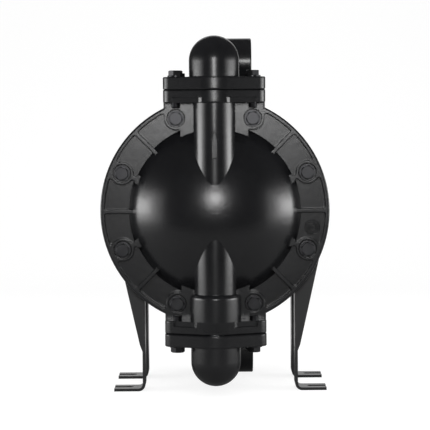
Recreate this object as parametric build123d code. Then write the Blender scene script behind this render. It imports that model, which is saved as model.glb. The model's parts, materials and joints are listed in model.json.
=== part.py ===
from build123d import *
import os
from math import cos, radians, sin, sqrt, tan

# Air operated double-diaphragm pump in cast metal, for two-inch pipe.
# Millimetres. The rod axis runs along Y, the pipe ports face +X and Z is up.
# The origin is on the floor, straight under the middle of the pump. Pieces are drawn with
# the rod axis at Z = 0, and save() lifts them to AXIS_Z above the floor.
# "Out" is the distance from the pump's middle plane (Y = 0) towards either end, and "up" is
# the distance from the rod axis. Pieces are drawn at the front end (-Y) and mirrored to the rear.

# ---- whole pump ----
AXIS_Z = 328.0
FACE_OUT = 140.0

# ---- fluid cap ----
CAP_R = 202.5
CAP_T = 24.0
CAP_WALL = 9.0
CAP_EDGE_FILLET = 3.0
DOME_RADIAL = 162.0
DOME_AXIAL = 111.0
DOME_RISE = 60.0
BOLT_CIRCLE_R = 177.0
CAP_BOLT_COUNT = 8
BOSS_R = 20.0
SPOTFACE_R = 15.7
SPOTFACE_DEPTH = 1.5
RIM_W = 7.1
RIB_W = 6.2
POCKET_FILLET = 4.0
POCKET_DEPTHS = {"by_port": 17.0, "upper": 9.0, "middle": 13.0}
PAD_HALF_W = 59.7
WEB_W = 7.0
WEB_FOOT_W = 16.0
WEB_FOOT_L = 6.0

# ---- risers and ball chambers in the fluid cap ----
PORT_LEAD = 19.0
RISER_R = 36.3
RISER_BORE_R = 27.0
CHAMBER_R = 44.4
CHAMBER_BORE_R = 36.0
CHAMBER_SHOULDER_DROP = 144.0
CHAMBER_SHOULDER_FILLET = 7.5
CHAMBER_TOP_DROP = 152.0
CHAMBER_CONE_H = 10.0
ARROW_L = 46.0
ARROW_W = 13.0
ARROW_SHAFT_W = 6.0
ARROW_HEAD_L = 14.0
ARROW_RISE = 1.4
ARROW_CENTRE_UP = 118.0

# ---- port flanges ----
PORT_FACE_UP = 214.0
CAP_PORT_T = 23.0
MANIFOLD_PORT_T = 22.0
PORT_HALF_W = 89.3
PORT_NOSE = 38.0
PORT_NOSE_R = 61.0
PORT_SLOPE_DEG = 22.0
PORT_CORNER_R = 15.0
PORT_BACK = 43.0
PORT_BACK_R = 6.0
PORT_EDGE_FILLET = 2.2
BAND_H = 9.5
BAND_DEPTH = 3.0
BAND_INNER_X = 28.0
BAND_OUTER_X = 74.0
BAND_END_R = 12.0

# ---- manifolds ----
MANIFOLD_UP = 264.0
MANIFOLD_NOSE = 45.0
ELBOW_R = 43.8
ELBOW_BORE_R = 36.0
CROSS_R = 37.0
CROSS_BORE_R = 27.0
INLET_DROP_R = 30.0
ELBOW_TAPER_L = 48.0
PORT_BOSS_R = 44.0
PORT_BOSS_REACH = 68.0
PORT_THREAD_R = 28.3
PORT_THREAD_L = 27.0
PORT_MOUTH_CHAMFER = 1.6

# ---- check balls, seats and seals ----
BALL_R = 28.5
BALL_LIFT = 12.0
BALL_CLEAR = 0.3
SEAT_R = 37.0
SEAT_BORE_R = 23.5
SEAT_H = 12.0
SEAT_SEAL_R = 1.5
SEAT_SEAL_SET = 0.05
GUIDE_W = 6.0
GUIDE_CLEAR = 0.9
GUIDE_STOP_R = 17.0
GUIDE_COUNT = 4

# ---- diaphragm and its clamp ----
DIAPHRAGM_R = 168.0
DIAPHRAGM_T = 5.0
DIAPHRAGM_RECESS_CLEAR = 0.3
DIAPHRAGM_CLAMP_R = 150.0
FOLD_IN_R = 97.0
FOLD_OUT_R = 140.0
FOLD_RISE = 13.0
FOLD_SIDE = 9.0
FOLD_FILLET = 7.0
ROD_STROKE = 14.0

# ---- rod and plates ----
ROD_R = 15.0
PLATE_SCREW_R = 8.0
PLATE_SCREW_HOLE_R = 8.3
PLATE_SCREW_IN_ROD = 36.0
PLATE_SCREW_ACROSS = 24.0
PLATE_SCREW_HEAD = 10.0
INNER_PLATE_R = 88.0
INNER_PLATE_T = 14.0
INNER_HUB_R = 50.0
OUTER_PLATE_R = 86.0
OUTER_PLATE_T = 16.0
OUTER_HUB_R = 22.0
PLATE_RIM = 5.0
PLATE_RIM_FILLET = 2.0

# ---- air cap ----
AIR_CAP_R = 200.0
AIR_FLANGE_T = 23.0
BOWL_FLOOR_R = 102.0
BOWL_FLOOR_T = 10.0
BOWL_BACK_R = 106.0
BOWL_RIM_BACK_R = 158.0
BOWL_FILLET = 8.0
ROD_CLEAR_HOLE = 1.0
AIR_CAP_SCREW_X = 72.0
AIR_CAP_SCREW_Z = 52.0
AIR_CAP_SCREW_R = 5.0
AIR_CAP_SCREW_ACROSS = 16.0
AIR_CAP_SCREW_HEAD = 6.4
AIR_CAP_SCREW_L = 32.0
AIR_CAP_GASKET_T = 1.0

# ---- motor body ----
BODY_OUT = 61.0
BODY_HALF_X = 95.0
BODY_HALF_Z = 75.0
BODY_CORNER_R = 14.0
BODY_CORE_W = 56.0
BODY_CORE_DEPTH = 22.0
BODY_CORE_L = 120.0
ROD_BORE_CLEAR = 0.5
BUSH_R = 22.0
BUSH_L = 26.0
BUSH_CLEAR = 0.05
ROD_SEAL_L = 8.0
AIR_PASSAGE_R = 8.0
AIR_PASSAGE_X = -70.0
AIR_PASSAGE_OUT = 28.0
EXHAUST_R = 13.0
EXHAUST_DROP = 45.0

# ---- pilot rod ----
PILOT_UP = 38.0
PILOT_R = 5.0
PILOT_CLEAR = 0.05
PILOT_TRAVEL = 6.0
PILOT_END_GAP = 0.5
PILOT_SEAL_R = 8.5
PILOT_SEAL_L = 5.0

# ---- air valve ----
VALVE_GASKET_T = 1.0
VALVE_DEPTH = 60.0
VALVE_HALF_L = 48.0
VALVE_TOP = 38.0
VALVE_BOTTOM = -64.0
VALVE_FILLET = 4.0
SLEEVE_X_IN = 31.0
SLEEVE_R = 20.0
SPOOL_R = 14.0
SPOOL_CLEAR = 0.05
SPOOL_GROOVE_R = 9.0
SPOOL_HALF_L = 38.0
SPOOL_LAND_L = 11.0
SLEEVE_PORT_R = 5.0
SLEEVE_PORT_PITCH = 28.0
VALVE_COVER_T = 8.0
VALVE_COVER_HALF_W = 28.0
VALVE_COVER_HALF_H = 34.0
COVER_SCREW_R = 3.0
COVER_SCREW_ACROSS = 10.0
COVER_SCREW_HEAD = 3.4
COVER_SCREW_L = 16.0
COVER_SCREW_INSET = 6.5
VALVE_SCREW_R = 4.0
VALVE_SCREW_ACROSS = 13.0
VALVE_SCREW_HEAD = 5.3
VALVE_SCREW_OUT = 33.0
VALVE_SCREW_UP = 30.0
VALVE_SCREW_DOWN = 54.0
VALVE_SCREW_GRIP = 18.0
AIR_INLET_BOSS_R = 22.0
AIR_INLET_BOSS_L = 16.0
AIR_INLET_R = 12.1
AIR_INLET_L = 20.0
AIR_INLET_PASSAGE_R = 7.0

# ---- muffler ----
MUFFLER_R = 29.0
MUFFLER_L = 74.0
MUFFLER_WALL = 3.0
MUFFLER_SLOTS = 12
MUFFLER_SLOT_W = 5.0
MUFFLER_END = 8.0
NIPPLE_L = 34.0
NIPPLE_IN_BODY = 16.0
NIPPLE_BORE_R = 9.5
NIPPLE_HEX = 34.0
NIPPLE_HEX_L = 8.0

# ---- legs ----
LEG_SHIFT_X = 7.5
LEG_HALF_SPAN = 140.0
LEG_T = 5.0
LEG_STRAP_W = 45.0
LEG_STRAP_TOP_DROP = 112.0
LEG_BEND_R = 13.0
FOOT_HALF_SPAN = 191.7
FOOT_SLOT_R = 6.5
FOOT_SLOT_L = 34.0
GUSSET_FOOT_HALF_SPAN = 144.5
GUSSET_FOOT_DROP = 244.0
GUSSET_CHAMFER_DROP = 256.0
GUSSET_TOP_HALF_SPAN = 187.5
GUSSET_TOP_DROP = 50.0
GUSSET_CORNER_R = 8.0
LEG_PAD_R_IN = 162.0
LEG_PAD_R_OUT = 197.0
LEG_PAD_FROM_DEG = -76.0
LEG_PAD_TO_DEG = -16.0

# ---- fasteners ----
BOLT_R = 7.0
BOLT_HOLE_R = 7.5
BOLT_ACROSS = 22.0
BOLT_HEAD = 8.8
WASHER_R = 14.0
WASHER_T = 2.5
NUT_H = 11.0
CAP_BOLT_TAIL = 3.0
PORT_BOLT_X = 67.2
PORT_BOLT_TAIL = 8.6

# ---- places worked out from the sizes above ----
CAP_BACK_OUT = FACE_OUT - CAP_T
DOME_CENTRE_OUT = FACE_OUT + DOME_RISE - DOME_AXIAL
PORT_AXIS_OUT = FACE_OUT + PORT_LEAD
DIAPHRAGM_IN_OUT = CAP_BACK_OUT - DIAPHRAGM_T
AIR_FLANGE_BACK_OUT = CAP_BACK_OUT - AIR_FLANGE_T
BOWL_BACK_OUT = BODY_OUT + AIR_CAP_GASKET_T
BOWL_FLOOR_OUT = BOWL_BACK_OUT + BOWL_FLOOR_T
ROD_END_OUT = DIAPHRAGM_IN_OUT - INNER_PLATE_T
PLATE_FACE_OUT = CAP_BACK_OUT + OUTER_PLATE_T
VALVE_FACE_X = -BODY_HALF_X - VALVE_GASKET_T
VALVE_BACK_X = VALVE_FACE_X - VALVE_DEPTH
SLEEVE_X = VALVE_FACE_X - SLEEVE_X_IN
SEAT_BALL_UP = SEAT_H + sqrt(BALL_R**2 - SEAT_BORE_R**2) + BALL_CLEAR
BORE_STRETCH = 1.0


def cylinder_along(direction, radius, start, end):
    """A round bar from start to end, along X, Y or Z."""
    return Solid.make_cylinder(radius, end - start, Plane((0, 0, 0), z_dir=direction)).moved(
        Location(Vector(*direction) * start)
    )


def bar_x(radius, start, end, y=0.0, z=0.0):
    return cylinder_along((1, 0, 0), radius, start, end).moved(Location((0, y, z)))


def bar_out(radius, start, end, x=0.0, z=0.0):
    """A round bar at the front end, between two distances out."""
    return cylinder_along((0, -1, 0), radius, start, end).moved(Location((x, 0, z)))


def bar_z(radius, start, end, x=0.0, y=0.0):
    return cylinder_along((0, 0, 1), radius, start, end).moved(Location((x, y, 0)))


def domed_bar(radius, low, high, x=0.0, y=0.0):
    """An upright bar from low up to high, with a half ball on top."""
    outline = Line((0, low), (radius, low)) + Line((radius, low), (radius, high))
    outline += CenterArc((0, high), radius, 0, 90) + Line((0, high + radius), (0, low))
    section = Plane.XZ * make_face(outline)
    return revolve(section, axis=Axis.Z).moved(Location((x, y, 0)))


def block(x0, x1, y0, y1, z0, z1):
    box = Box(x1 - x0, y1 - y0, z1 - z0)
    return box.moved(Location(((x0 + x1) / 2, (y0 + y1) / 2, (z0 + z1) / 2)))


def turned_out(profile):
    """Turns a profile, drawn as (radius, distance out), about the rod axis at the front end."""
    return Rot(X=180) * revolve(profile, axis=Axis.Y)


def polygon(points):
    return make_face(Polyline(*points, close=True))


def rounded(face, radius, *corners):
    """Rounds the face's corners that lie at the given points."""
    near = [v for v in face.vertices() for c in corners if (Vector(v) - Vector(*c)).length < 0.01]
    return fillet(near, radius)


def rear(shape):
    return shape.mirror(Plane.XZ)


def ring_angles(count, first):
    return [first + i * 360.0 / count for i in range(count)]


def on_ring(radius, angle):
    """X and Z of a point on a ring about the rod axis."""
    return radius * cos(radians(angle)), radius * sin(radians(angle))


BOLT_ANGLES = ring_angles(CAP_BOLT_COUNT, 180.0 / CAP_BOLT_COUNT)


def save(name, *solids):
    found = [s for shape in solids for s in shape.solids()]
    lifted = [s.moved(Location((0, 0, AXIS_Z))) for s in found]
    shape = lifted[0] if len(lifted) == 1 else Compound(children=lifted)
    shape.label = name
    export_step(shape, f"parts/{name}.step")


# ---- fasteners ----
def hex_prism(across, height):
    return extrude(RegularPolygon(across / 2, 6, major_radius=False), height)


def hex_head(across, height):
    """A hexagon with its top corners turned off."""
    flat_r = 0.475 * across
    cone = Cone(flat_r + height / tan(radians(30)), flat_r, height, align=(Align.CENTER, Align.CENTER, Align.MIN))
    return hex_prism(across, height) & cone


def hex_bolt(radius, length, across, head):
    """A bolt along +Z whose head sits on the plane Z = 0."""
    shank = Cylinder(radius, length, align=(Align.CENTER, Align.CENTER, Align.MAX))
    shank = chamfer(shank.edges().sort_by(Axis.Z)[0], radius * 0.15)
    return hex_head(across, head) + shank


def hex_nut(radius, across, height):
    return hex_head(across, height) - Cylinder(radius, 3 * height)


def washer(hole, radius, thickness):
    ring = Cylinder(radius, thickness, align=(Align.CENTER, Align.CENTER, Align.MIN))
    return ring - Cylinder(hole, 3 * thickness)


def facing_out(out, x, z, twist=0.0):
    """A place on a plane at the front end whose normal points out along -Y."""
    return Plane((x, -out, z), x_dir=(1, 0, 0), z_dir=(0, -1, 0)).location * Rot(Z=twist)


# ---- flange plan shared by the caps and the manifolds ----
def port_plan(nose):
    """Seen from above, at the front end: a blunt nose, two sloping flats and square shoulders."""
    slope = tan(radians(PORT_SLOPE_DEG))
    apex = PORT_AXIS_OUT + nose + PORT_NOSE_R * (1 / cos(radians(PORT_SLOPE_DEG)) - 1)
    shoulder = apex - PORT_HALF_W * slope
    back = PORT_AXIS_OUT - PORT_BACK
    face = polygon(
        [
            (-PORT_HALF_W, -back),
            (-PORT_HALF_W, -shoulder),
            (0, -apex),
            (PORT_HALF_W, -shoulder),
            (PORT_HALF_W, -back),
        ]
    )
    face = rounded(face, PORT_NOSE_R, (0, -apex))
    face = rounded(face, PORT_CORNER_R, (-PORT_HALF_W, -shoulder), (PORT_HALF_W, -shoulder))
    return rounded(face, PORT_BACK_R, (-PORT_HALF_W, -back), (PORT_HALF_W, -back))


def port_plate(low, high, nose):
    plate = extrude(port_plan(nose), high - low).moved(Location((0, 0, low)))
    rims = plate.edges().filter_by_position(Axis.Z, low - 0.01, low + 0.01)
    rims += plate.edges().filter_by_position(Axis.Z, high - 0.01, high + 0.01)
    return fillet(rims, PORT_EDGE_FILLET)


def port_band(low, high):
    """The shallow relief along the sloping flats of a cap's port flange, on both sides."""
    slope = radians(PORT_SLOPE_DEG)
    apex = PORT_AXIS_OUT + PORT_NOSE + PORT_NOSE_R * (1 / cos(slope) - 1)

    def on_flat(x, depth):
        """A point on the right-hand flat at a given X, moved square into the flange."""
        return x - depth * sin(slope), x * tan(slope) - apex + depth * cos(slope)

    strip = polygon(
        [
            on_flat(BAND_INNER_X, BAND_DEPTH),
            on_flat(BAND_OUTER_X, BAND_DEPTH),
            on_flat(BAND_OUTER_X, -BAND_DEPTH),
            on_flat(BAND_INNER_X - BAND_END_R, -BAND_DEPTH),
        ]
    )
    cutter = extrude(strip, high - low).moved(Location((0, 0, low)))
    return cutter + cutter.mirror(Plane.YZ)


# ---- front fluid cap ----
def dome_face(inset):
    """Half of the dome's section, from the clamp face out, as (radius, distance out)."""
    oval = Pos(0, DOME_CENTRE_OUT) * Ellipse(DOME_RADIAL - inset, DOME_AXIAL - inset)
    kept = Pos(DOME_RADIAL / 2, CAP_BACK_OUT + DOME_AXIAL / 2) * Rectangle(DOME_RADIAL, DOME_AXIAL)
    return oval & kept


def sector(r_in, r_out, from_deg, to_deg):
    """Part of a ring about the origin, drawn on the XY plane."""
    reach = r_out / cos(radians((to_deg - from_deg) / 2)) + 1
    start = (reach * cos(radians(from_deg)), reach * sin(radians(from_deg)))
    middle = radians((from_deg + to_deg) / 2)
    end = (reach * cos(radians(to_deg)), reach * sin(radians(to_deg)))
    wedge = polygon([(0, 0), start, (reach * cos(middle), reach * sin(middle)), end])
    return (Circle(r_out) - Circle(r_in)) & wedge


def bolt_boss(angle):
    return Pos(BOLT_CIRCLE_R * cos(radians(angle)), BOLT_CIRCLE_R * sin(radians(angle))) * Circle(BOSS_R)


def half_rib(angle):
    """A strip that is half a rib wide on each side of a line at the angle."""
    return Rot(Z=angle) * Pos(CAP_R / 2, 0) * Rectangle(CAP_R, RIB_W)


def pocket_plans():
    """The three pockets of one quarter, flat on the XY plane, keyed as POCKET_DEPTHS."""
    half_step = 180.0 / CAP_BOLT_COUNT
    middle_bolt = half_step
    port_bolt = 3 * half_step
    r_in = DOME_RADIAL - 4 * CAP_WALL
    r_out = CAP_R - RIM_W
    bolt_x = BOLT_CIRCLE_R * cos(radians(port_bolt))
    bolt_y = BOLT_CIRCLE_R * sin(radians(port_bolt))
    ring = {
        "by_port": sector(r_in, r_out, 2 * half_step, 90.0),
        "upper": sector(r_in, r_out, middle_bolt, 2 * half_step),
        "middle": sector(r_in, r_out, 0.0, middle_bolt),
    }
    web = Rot(Z=middle_bolt) * Pos(BOLT_CIRCLE_R / 2, 0) * Rectangle(BOLT_CIRCLE_R, WEB_W)
    foot_r = DOME_RADIAL * sqrt(1 - ((FACE_OUT - DOME_CENTRE_OUT) / DOME_AXIAL) ** 2)
    foot = Rot(Z=middle_bolt) * Pos(foot_r, 0) * Rectangle(2 * WEB_FOOT_L, WEB_FOOT_W)
    shoulder = Pos(bolt_x + BOSS_R - CAP_R / 2, bolt_y + CAP_R / 2) * Rectangle(CAP_R, CAP_R)
    pad = Pos(PAD_HALF_W - CAP_R / 2, CAP_R / 2) * Rectangle(CAP_R, 2 * CAP_R)
    ring["by_port"] = ring["by_port"] - half_rib(2 * half_step) - bolt_boss(port_bolt) - shoulder - pad
    ring["upper"] = ring["upper"] - half_rib(2 * half_step) - bolt_boss(middle_bolt) - web - foot
    ring["middle"] = ring["middle"] - half_rib(0.0) - bolt_boss(middle_bolt) - web - foot
    return ring


def softened(face, radius):
    """Rounds every corner of a flat face, inside and out."""
    shrunk = offset(face, -radius)
    grown = offset(shrunk, 2 * radius)
    return offset(grown, -radius)


def pocket_cutter(name, plan):
    """Cuts a pocket into the flange face, in all four quarters."""
    depth = POCKET_DEPTHS[name]
    quarter = extrude(plan, depth + BORE_STRETCH).moved(Location((0, 0, -depth)))
    half = quarter + quarter.mirror(Plane.YZ)
    both = half + half.mirror(Plane.XZ)
    return facing_out(FACE_OUT, 0, 0) * both


def ball_guides(rest, floor):
    """Ribs that keep a ball in line and stop its lift, about the port axis at the front end."""
    lifted = rest + BALL_LIFT
    cage_r = BALL_R + GUIDE_CLEAR
    top = lifted + BALL_R
    swept = domed_bar(cage_r, floor - BORE_STRETCH, lifted)
    reach = CHAMBER_BORE_R + BORE_STRETCH
    ribs = []
    for angle in ring_angles(GUIDE_COUNT, 45.0):
        rib = block(GUIDE_STOP_R, reach, -GUIDE_W / 2, GUIDE_W / 2, floor + BORE_STRETCH, top)
        ribs += (Rot(Z=angle) * rib - swept).solids()
    return [rib.moved(Location((0, -PORT_AXIS_OUT, 0))) for rib in ribs]


def riser_arrow():
    """A raised arrow on the front of the upper riser, pointing the way the fluid goes."""
    half = ARROW_L / 2
    neck = half - ARROW_HEAD_L
    shaft = ARROW_SHAFT_W / 2
    outline = polygon(
        [
            (-shaft, -half),
            (shaft, -half),
            (shaft, neck),
            (ARROW_W / 2, neck),
            (0, half),
            (-ARROW_W / 2, neck),
            (-shaft, neck),
        ]
    )
    front = PORT_AXIS_OUT + RISER_R
    stamp = extrude(outline, CAP_WALL).moved(Location((0, 0, -CAP_WALL / 2)))
    stamp = facing_out(front, 0, ARROW_CENTRE_UP) * stamp
    raised = bar_z(RISER_R + ARROW_RISE, 0, PORT_FACE_UP, y=-PORT_AXIS_OUT)
    return stamp & raised


def front_fluid_cap():
    port_root = PORT_FACE_UP - CAP_PORT_T
    neck_top = port_root + CAP_PORT_T / 2
    flange = bar_out(CAP_R, CAP_BACK_OUT, FACE_OUT)
    flange += block(-PORT_HALF_W, PORT_HALF_W, -FACE_OUT, -CAP_BACK_OUT, -neck_top, neck_top)
    face_rim = flange.edges().filter_by_position(Axis.Y, -FACE_OUT - 0.01, -FACE_OUT + 0.01)
    flange = fillet(face_rim, CAP_EDGE_FILLET)
    for name, plan in pocket_plans().items():
        flange -= pocket_cutter(name, softened(plan, POCKET_FILLET))

    cap = flange + turned_out(dome_face(0))
    cap += bar_z(RISER_R, -PORT_FACE_UP + CAP_PORT_T / 2, neck_top, y=-PORT_AXIS_OUT)
    chamber = bar_z(CHAMBER_R, -port_root, -CHAMBER_SHOULDER_DROP, y=-PORT_AXIS_OUT)
    chamber = fillet(chamber.edges().sort_by(Axis.Z)[-1], CHAMBER_SHOULDER_FILLET)
    foot_h = CAP_PORT_T - 2 * PORT_EDGE_FILLET
    foot = Cone(PORT_NOSE, CHAMBER_R, foot_h, align=(Align.CENTER, Align.CENTER, Align.MAX))
    chamber += foot.moved(Location((0, -PORT_AXIS_OUT, -port_root)))
    cap += chamber & block(-CAP_R, CAP_R, -2 * FACE_OUT, -CAP_BACK_OUT, -PORT_FACE_UP, 0)
    for low, high in ((port_root, PORT_FACE_UP), (-PORT_FACE_UP, -port_root)):
        cap += port_plate(low, high, PORT_NOSE)
    cap -= port_band(port_root - BORE_STRETCH, port_root + BAND_H)
    cap -= port_band(-port_root - BAND_H, -port_root + BORE_STRETCH) - bar_z(
        CHAMBER_R, -PORT_FACE_UP, -port_root + 2 * BORE_STRETCH, y=-PORT_AXIS_OUT
    )
    cap += riser_arrow()

    seat_top = -PORT_FACE_UP + SEAT_H
    cap -= turned_out(dome_face(CAP_WALL))
    cap -= bar_z(RISER_BORE_R, -CHAMBER_TOP_DROP, PORT_FACE_UP + BORE_STRETCH, y=-PORT_AXIS_OUT)
    cone_low = -CHAMBER_TOP_DROP - CHAMBER_CONE_H
    throat = Cone(CHAMBER_BORE_R, RISER_BORE_R, CHAMBER_CONE_H, align=(Align.CENTER, Align.CENTER, Align.MIN))
    cap -= throat.moved(Location((0, -PORT_AXIS_OUT, cone_low)))
    cap -= bar_z(CHAMBER_BORE_R, seat_top, cone_low, y=-PORT_AXIS_OUT)
    cap -= bar_z(SEAT_R, -PORT_FACE_UP - BORE_STRETCH, seat_top, y=-PORT_AXIS_OUT)
    for rib in ball_guides(-PORT_FACE_UP + SEAT_BALL_UP, seat_top):
        cap += rib

    for angle in BOLT_ANGLES:
        x, z = on_ring(BOLT_CIRCLE_R, angle)
        cap -= bar_out(BOLT_HOLE_R, CAP_BACK_OUT - BORE_STRETCH, FACE_OUT + BORE_STRETCH, x, z)
        cap -= bar_out(SPOTFACE_R, FACE_OUT - SPOTFACE_DEPTH, FACE_OUT + BORE_STRETCH, x, z)
    for x in (-PORT_BOLT_X, PORT_BOLT_X):
        cap -= bar_z(BOLT_R, -PORT_FACE_UP - BORE_STRETCH, -port_root + BORE_STRETCH, x, -PORT_AXIS_OUT)
        cap -= bar_z(BOLT_R, port_root - BORE_STRETCH, PORT_FACE_UP + BORE_STRETCH, x, -PORT_AXIS_OUT)
    return cap


# ---- manifolds ----
def manifold_shell():
    """The upper manifold without its inside: two elbows, the cross pipe, the port boss, two flanges."""
    top = PORT_FACE_UP + MANIFOLD_PORT_T
    elbow = domed_bar(ELBOW_R, top - MANIFOLD_PORT_T / 2, MANIFOLD_UP, y=-PORT_AXIS_OUT)
    taper = Cone(ELBOW_R, CROSS_R, ELBOW_TAPER_L, align=(Align.CENTER, Align.CENTER, Align.MIN))
    elbow += Plane((0, -PORT_AXIS_OUT, MANIFOLD_UP), z_dir=(0, 1, 0)).location * taper
    elbow += port_plate(PORT_FACE_UP, top, MANIFOLD_NOSE)
    shell = elbow + rear(elbow)
    shell += cylinder_along((0, 1, 0), CROSS_R, -PORT_AXIS_OUT, PORT_AXIS_OUT).moved(Location((0, 0, MANIFOLD_UP)))
    boss = Rot(Y=-90) * domed_bar(PORT_BOSS_R, -PORT_BOSS_REACH, 0)
    boss = fillet(boss.edges().filter_by(GeomType.CIRCLE).sort_by(Axis.X)[-1], PORT_EDGE_FILLET)
    return shell + boss.moved(Location((0, 0, MANIFOLD_UP)))


def manifold_bores(drop_bore_r):
    """What is cut from either manifold: the cross pipe, the elbows, the threaded port, the bolt holes."""
    cut = cylinder_along((0, 1, 0), CROSS_BORE_R, -PORT_AXIS_OUT, PORT_AXIS_OUT).moved(
        Location((0, 0, MANIFOLD_UP))
    )
    cut += bar_x(CROSS_BORE_R - BORE_STRETCH, 0, PORT_BOSS_REACH - PORT_THREAD_L, z=MANIFOLD_UP)
    cut += bar_x(PORT_THREAD_R, PORT_BOSS_REACH - PORT_THREAD_L, PORT_BOSS_REACH + BORE_STRETCH, z=MANIFOLD_UP)
    top = PORT_FACE_UP + MANIFOLD_PORT_T
    for y in (-PORT_AXIS_OUT, PORT_AXIS_OUT):
        cut += domed_bar(drop_bore_r, PORT_FACE_UP - BORE_STRETCH, MANIFOLD_UP, y=y)
        for x in (-PORT_BOLT_X, PORT_BOLT_X):
            cut += bar_z(BOLT_HOLE_R, PORT_FACE_UP - BORE_STRETCH, top + BORE_STRETCH, x, y)
    return cut


def outlet_manifold():
    seat_top = PORT_FACE_UP + SEAT_H
    shell = manifold_shell() - manifold_bores(ELBOW_BORE_R)
    for y in (-PORT_AXIS_OUT, PORT_AXIS_OUT):
        shell -= bar_z(SEAT_R, PORT_FACE_UP - BORE_STRETCH, seat_top, y=y)
    for rib in ball_guides(PORT_FACE_UP + SEAT_BALL_UP, seat_top):
        shell += rib
        shell += rear(rib)
    return shell


def inlet_manifold():
    shell = manifold_shell() - manifold_bores(INLET_DROP_R)
    return shell.mirror(Plane.XY)


# ---- check balls, seats and seals ----
def check_ball(port_face):
    return Sphere(BALL_R).moved(Location((0, -PORT_AXIS_OUT, port_face + SEAT_BALL_UP)))


def ball_seat(port_face):
    """A ring in the port flange's counterbore, dished to the ball, with a groove for its seal."""
    seat = bar_z(SEAT_R, port_face, port_face + SEAT_H, y=-PORT_AXIS_OUT)
    seat -= bar_z(SEAT_BORE_R, port_face - BORE_STRETCH, port_face + SEAT_H + BORE_STRETCH, y=-PORT_AXIS_OUT)
    dish = Sphere(BALL_R + BALL_CLEAR).moved(Location((0, -PORT_AXIS_OUT, port_face + SEAT_BALL_UP)))
    groove_low = port_face + SEAT_H / 2 - SEAT_SEAL_R - SEAT_SEAL_SET
    groove_high = port_face + SEAT_H / 2 + SEAT_SEAL_R + SEAT_SEAL_SET
    groove = bar_z(SEAT_R + BORE_STRETCH, groove_low, groove_high, y=-PORT_AXIS_OUT)
    groove -= bar_z(SEAT_R - 2 * (SEAT_SEAL_R + SEAT_SEAL_SET), groove_low, groove_high, y=-PORT_AXIS_OUT)
    return seat - dish - groove


def seat_seal(port_face):
    ring = Torus(SEAT_R - SEAT_SEAL_SET - SEAT_SEAL_R, SEAT_SEAL_R)
    return ring.moved(Location((0, -PORT_AXIS_OUT, port_face + SEAT_H / 2)))


# ---- diaphragm, plates and rod ----
def diaphragm():
    mid = DIAPHRAGM_IN_OUT + DIAPHRAGM_T / 2
    path = FilletPolyline(
        (PLATE_SCREW_HOLE_R, mid),
        (FOLD_IN_R, mid),
        (FOLD_IN_R + FOLD_SIDE, mid + FOLD_RISE),
        (FOLD_OUT_R - FOLD_SIDE, mid + FOLD_RISE),
        (FOLD_OUT_R, mid),
        (DIAPHRAGM_R, mid),
        radius=FOLD_FILLET,
    )
    return turned_out(trace(path, DIAPHRAGM_T))


def inner_plate():
    """The plate on the air side, between the rod's end and the diaphragm."""
    section = polygon(
        [
            (PLATE_SCREW_HOLE_R, ROD_END_OUT),
            (INNER_HUB_R, ROD_END_OUT),
            (INNER_PLATE_R, DIAPHRAGM_IN_OUT - PLATE_RIM),
            (INNER_PLATE_R, DIAPHRAGM_IN_OUT),
            (PLATE_SCREW_HOLE_R, DIAPHRAGM_IN_OUT),
        ]
    )
    rim = (INNER_PLATE_R, DIAPHRAGM_IN_OUT - PLATE_RIM), (INNER_PLATE_R, DIAPHRAGM_IN_OUT)
    return turned_out(rounded(section, PLATE_RIM_FILLET, *rim))


def outer_plate():
    """The plate on the fluid side, under the head of the plate screw."""
    section = polygon(
        [
            (PLATE_SCREW_HOLE_R, CAP_BACK_OUT),
            (OUTER_PLATE_R, CAP_BACK_OUT),
            (OUTER_PLATE_R, CAP_BACK_OUT + PLATE_RIM),
            (OUTER_HUB_R, PLATE_FACE_OUT),
            (PLATE_SCREW_HOLE_R, PLATE_FACE_OUT),
        ]
    )
    rim = (OUTER_PLATE_R, CAP_BACK_OUT), (OUTER_PLATE_R, CAP_BACK_OUT + PLATE_RIM)
    return turned_out(rounded(section, PLATE_RIM_FILLET, *rim))


def plate_screw():
    length = PLATE_FACE_OUT - ROD_END_OUT + PLATE_SCREW_IN_ROD
    screw = hex_bolt(PLATE_SCREW_R, length, PLATE_SCREW_ACROSS, PLATE_SCREW_HEAD)
    return facing_out(PLATE_FACE_OUT, 0, 0) * screw


def diaphragm_rod():
    rod = bar_out(ROD_R, -ROD_END_OUT, ROD_END_OUT)
    rod = chamfer(rod.edges().filter_by(GeomType.CIRCLE), 1.0)
    depth = PLATE_SCREW_IN_ROD + 4 * BORE_STRETCH
    hole = bar_out(PLATE_SCREW_R, ROD_END_OUT - depth, ROD_END_OUT + BORE_STRETCH)
    return rod - hole - rear(hole)


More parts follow.
